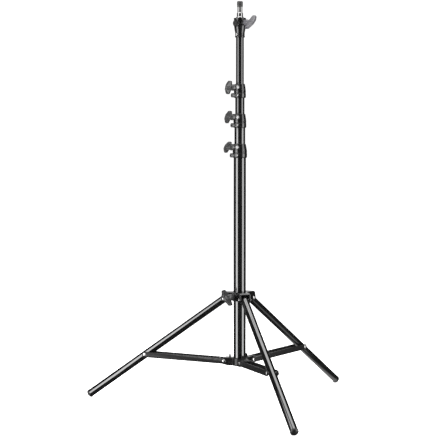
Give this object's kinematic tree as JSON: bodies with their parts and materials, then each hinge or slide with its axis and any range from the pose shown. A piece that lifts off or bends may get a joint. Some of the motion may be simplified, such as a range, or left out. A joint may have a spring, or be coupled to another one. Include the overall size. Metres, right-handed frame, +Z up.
{
  "type": "lighting stand",
  "caption": "Free-standing telescopic lighting stand with folding braced legs, clamp collars with wing knobs, and a round spigot on top.",
  "frame": {"origin": "centre of the flat underside of the base tube's plug, on the column's axis, 124 mm above the floor", "axes": "+Z up along the column; -Y is the direction of the front leg"},
  "size_m": [0.9052, 0.788, 1.3014],
  "materials": {
    "tube_black": "black anodised, glossy",
    "casting_black": "black, satin",
    "knob_grey": "dark grey, matt",
    "plastic_black": "black, matt",
    "steel_bright": "bright plated",
    "rubber": "black rubber",
    "spigot_metal": "turned, polished"
  },
  "bodies": {
    "column": {"base_tube": "tube_black", "base_plug": "plastic_black", "lower_spider": "casting_black", "front_spider_rivet": "steel_bright", "right_spider_rivet": "steel_bright", "left_spider_rivet": "steel_bright", "clamp_1_body": "casting_black", "clamp_1_liner": "plastic_black", "clamp_1_bolt": "casting_black"},
    "collar": {"upper_collar": "casting_black", "collar_liner": "plastic_black", "front_leg_rivet": "steel_bright", "right_leg_rivet": "steel_bright", "left_leg_rivet": "steel_bright"},
    "collar_knob": {"collar_knob": "knob_grey", "collar_screw": "steel_bright"},
    "front_leg": {"front_leg_tube": "tube_black", "front_foot_cap": "rubber", "front_leg_bush": "steel_bright"},
    "right_leg": {"right_leg_tube": "tube_black", "right_foot_cap": "rubber", "right_leg_bush": "steel_bright"},
    "left_leg": {"left_leg_tube": "tube_black", "left_foot_cap": "rubber", "left_leg_bush": "steel_bright"},
    "front_brace": {"front_brace": "casting_black", "front_brace_bolt": "steel_bright", "front_brace_nut": "steel_bright"},
    "right_brace": {"right_brace": "casting_black", "right_brace_bolt": "steel_bright", "right_brace_nut": "steel_bright"},
    "left_brace": {"left_brace": "casting_black", "left_brace_bolt": "steel_bright", "left_brace_nut": "steel_bright"},
    "riser_2": {"riser_2_tube": "tube_black", "riser_2_bush": "plastic_black", "clamp_2_body": "casting_black", "clamp_2_liner": "plastic_black", "clamp_2_bolt": "casting_black"},
    "riser_3": {"riser_3_tube": "tube_black", "riser_3_bush": "plastic_black", "clamp_3_body": "casting_black", "clamp_3_liner": "plastic_black", "clamp_3_bolt": "casting_black"},
    "riser_4": {"riser_4_tube": "tube_black", "riser_4_bush": "plastic_black", "head_casting": "casting_black", "head_side_plug": "plastic_black", "head_fixing_screw": "steel_bright"},
    "clamp_1_knob": {"clamp_1_knob": "knob_grey", "clamp_1_screw": "steel_bright"},
    "clamp_2_knob": {"clamp_2_knob": "knob_grey", "clamp_2_screw": "steel_bright"},
    "clamp_3_knob": {"clamp_3_knob": "knob_grey", "clamp_3_screw": "steel_bright"},
    "head_lever": {"head_lever": "knob_grey", "head_lever_screw": "steel_bright"},
    "spigot": {"spigot": "spigot_metal", "spigot_cap": "plastic_black"}
  },
  "joints": [
    {"name": "collar_slide", "type": "slide", "parent": "column", "child": "collar", "axis": [0, 0, 1], "range_m": [0, 0.3918]},
    {"name": "front_leg_hinge", "type": "hinge", "parent": "collar", "child": "front_leg", "pos_m": [0, -0.049, 0.21974], "axis": [1, 0, 0], "range_deg": [0, 54.3]},
    {"name": "right_leg_hinge", "type": "hinge", "parent": "collar", "child": "right_leg", "pos_m": [0.04244, 0.0245, 0.21974], "axis": [-0.5, 0.866, 0], "range_deg": [0, 54.3]},
    {"name": "left_leg_hinge", "type": "hinge", "parent": "collar", "child": "left_leg", "pos_m": [-0.04244, 0.0245, 0.21974], "axis": [-0.5, -0.866, 0], "range_deg": [0, 54.3]},
    {"name": "front_brace_hinge", "type": "hinge", "parent": "column", "child": "front_brace", "pos_m": [0, -0.049, 0.0154], "axis": [-1, 0, 0], "range_deg": [0, 87.4]},
    {"name": "right_brace_hinge", "type": "hinge", "parent": "column", "child": "right_brace", "pos_m": [0.04244, 0.0245, 0.0154], "axis": [0.5, -0.866, 0], "range_deg": [0, 87.4]},
    {"name": "left_brace_hinge", "type": "hinge", "parent": "column", "child": "left_brace", "pos_m": [-0.04244, 0.0245, 0.0154], "axis": [0.5, 0.866, 0], "range_deg": [0, 87.4]},
    {"name": "riser_2_slide", "type": "slide", "parent": "column", "child": "riser_2", "axis": [0, 0, 1], "range_m": [-0.05, 0.483]},
    {"name": "riser_3_slide", "type": "slide", "parent": "riser_2", "child": "riser_3", "axis": [0, 0, 1], "range_m": [-0.05, 0.484]},
    {"name": "riser_4_slide", "type": "slide", "parent": "riser_3", "child": "riser_4", "axis": [0, 0, 1], "range_m": [-0.1475, 0.375]},
    {"name": "clamp_1_knob_turn", "type": "hinge", "parent": "column", "child": "clamp_1_knob", "pos_m": [0, 0, 0.7103], "axis": [-0.9848, -0.1736, 0], "range_deg": [0, 270]},
    {"name": "clamp_2_knob_turn", "type": "hinge", "parent": "riser_2", "child": "clamp_2_knob", "pos_m": [0, 0, 0.8068], "axis": [-0.9848, -0.1736, 0], "range_deg": [0, 270]},
    {"name": "clamp_3_knob_turn", "type": "hinge", "parent": "riser_3", "child": "clamp_3_knob", "pos_m": [0, 0, 0.9015], "axis": [-0.9848, -0.1736, 0], "range_deg": [0, 270]},
    {"name": "collar_knob_turn", "type": "hinge", "parent": "collar", "child": "collar_knob", "pos_m": [0, 0, 0.227], "axis": [-0.866, -0.5, 0], "range_deg": [0, 270]},
    {"name": "head_lever_turn", "type": "hinge", "parent": "riser_4", "child": "head_lever", "pos_m": [0, 0, 1.1085], "axis": [0.5, -0.866, 0], "range_deg": [0, 270]},
    {"name": "spigot_slide", "type": "slide", "parent": "riser_4", "child": "spigot", "axis": [0, 0, 1], "range_m": [0, 0.025]}
  ],
  "couplings": [
    {"joint": "front_leg_hinge", "follows": "collar_slide", "rad_per_m": 2.4166},
    {"joint": "right_leg_hinge", "follows": "collar_slide", "rad_per_m": 2.4166},
    {"joint": "left_leg_hinge", "follows": "collar_slide", "rad_per_m": 2.4166},
    {"joint": "front_brace_hinge", "follows": "collar_slide", "rad_per_m": 3.8918},
    {"joint": "right_brace_hinge", "follows": "collar_slide", "rad_per_m": 3.8918},
    {"joint": "left_brace_hinge", "follows": "collar_slide", "rad_per_m": 3.8918}
  ]
}
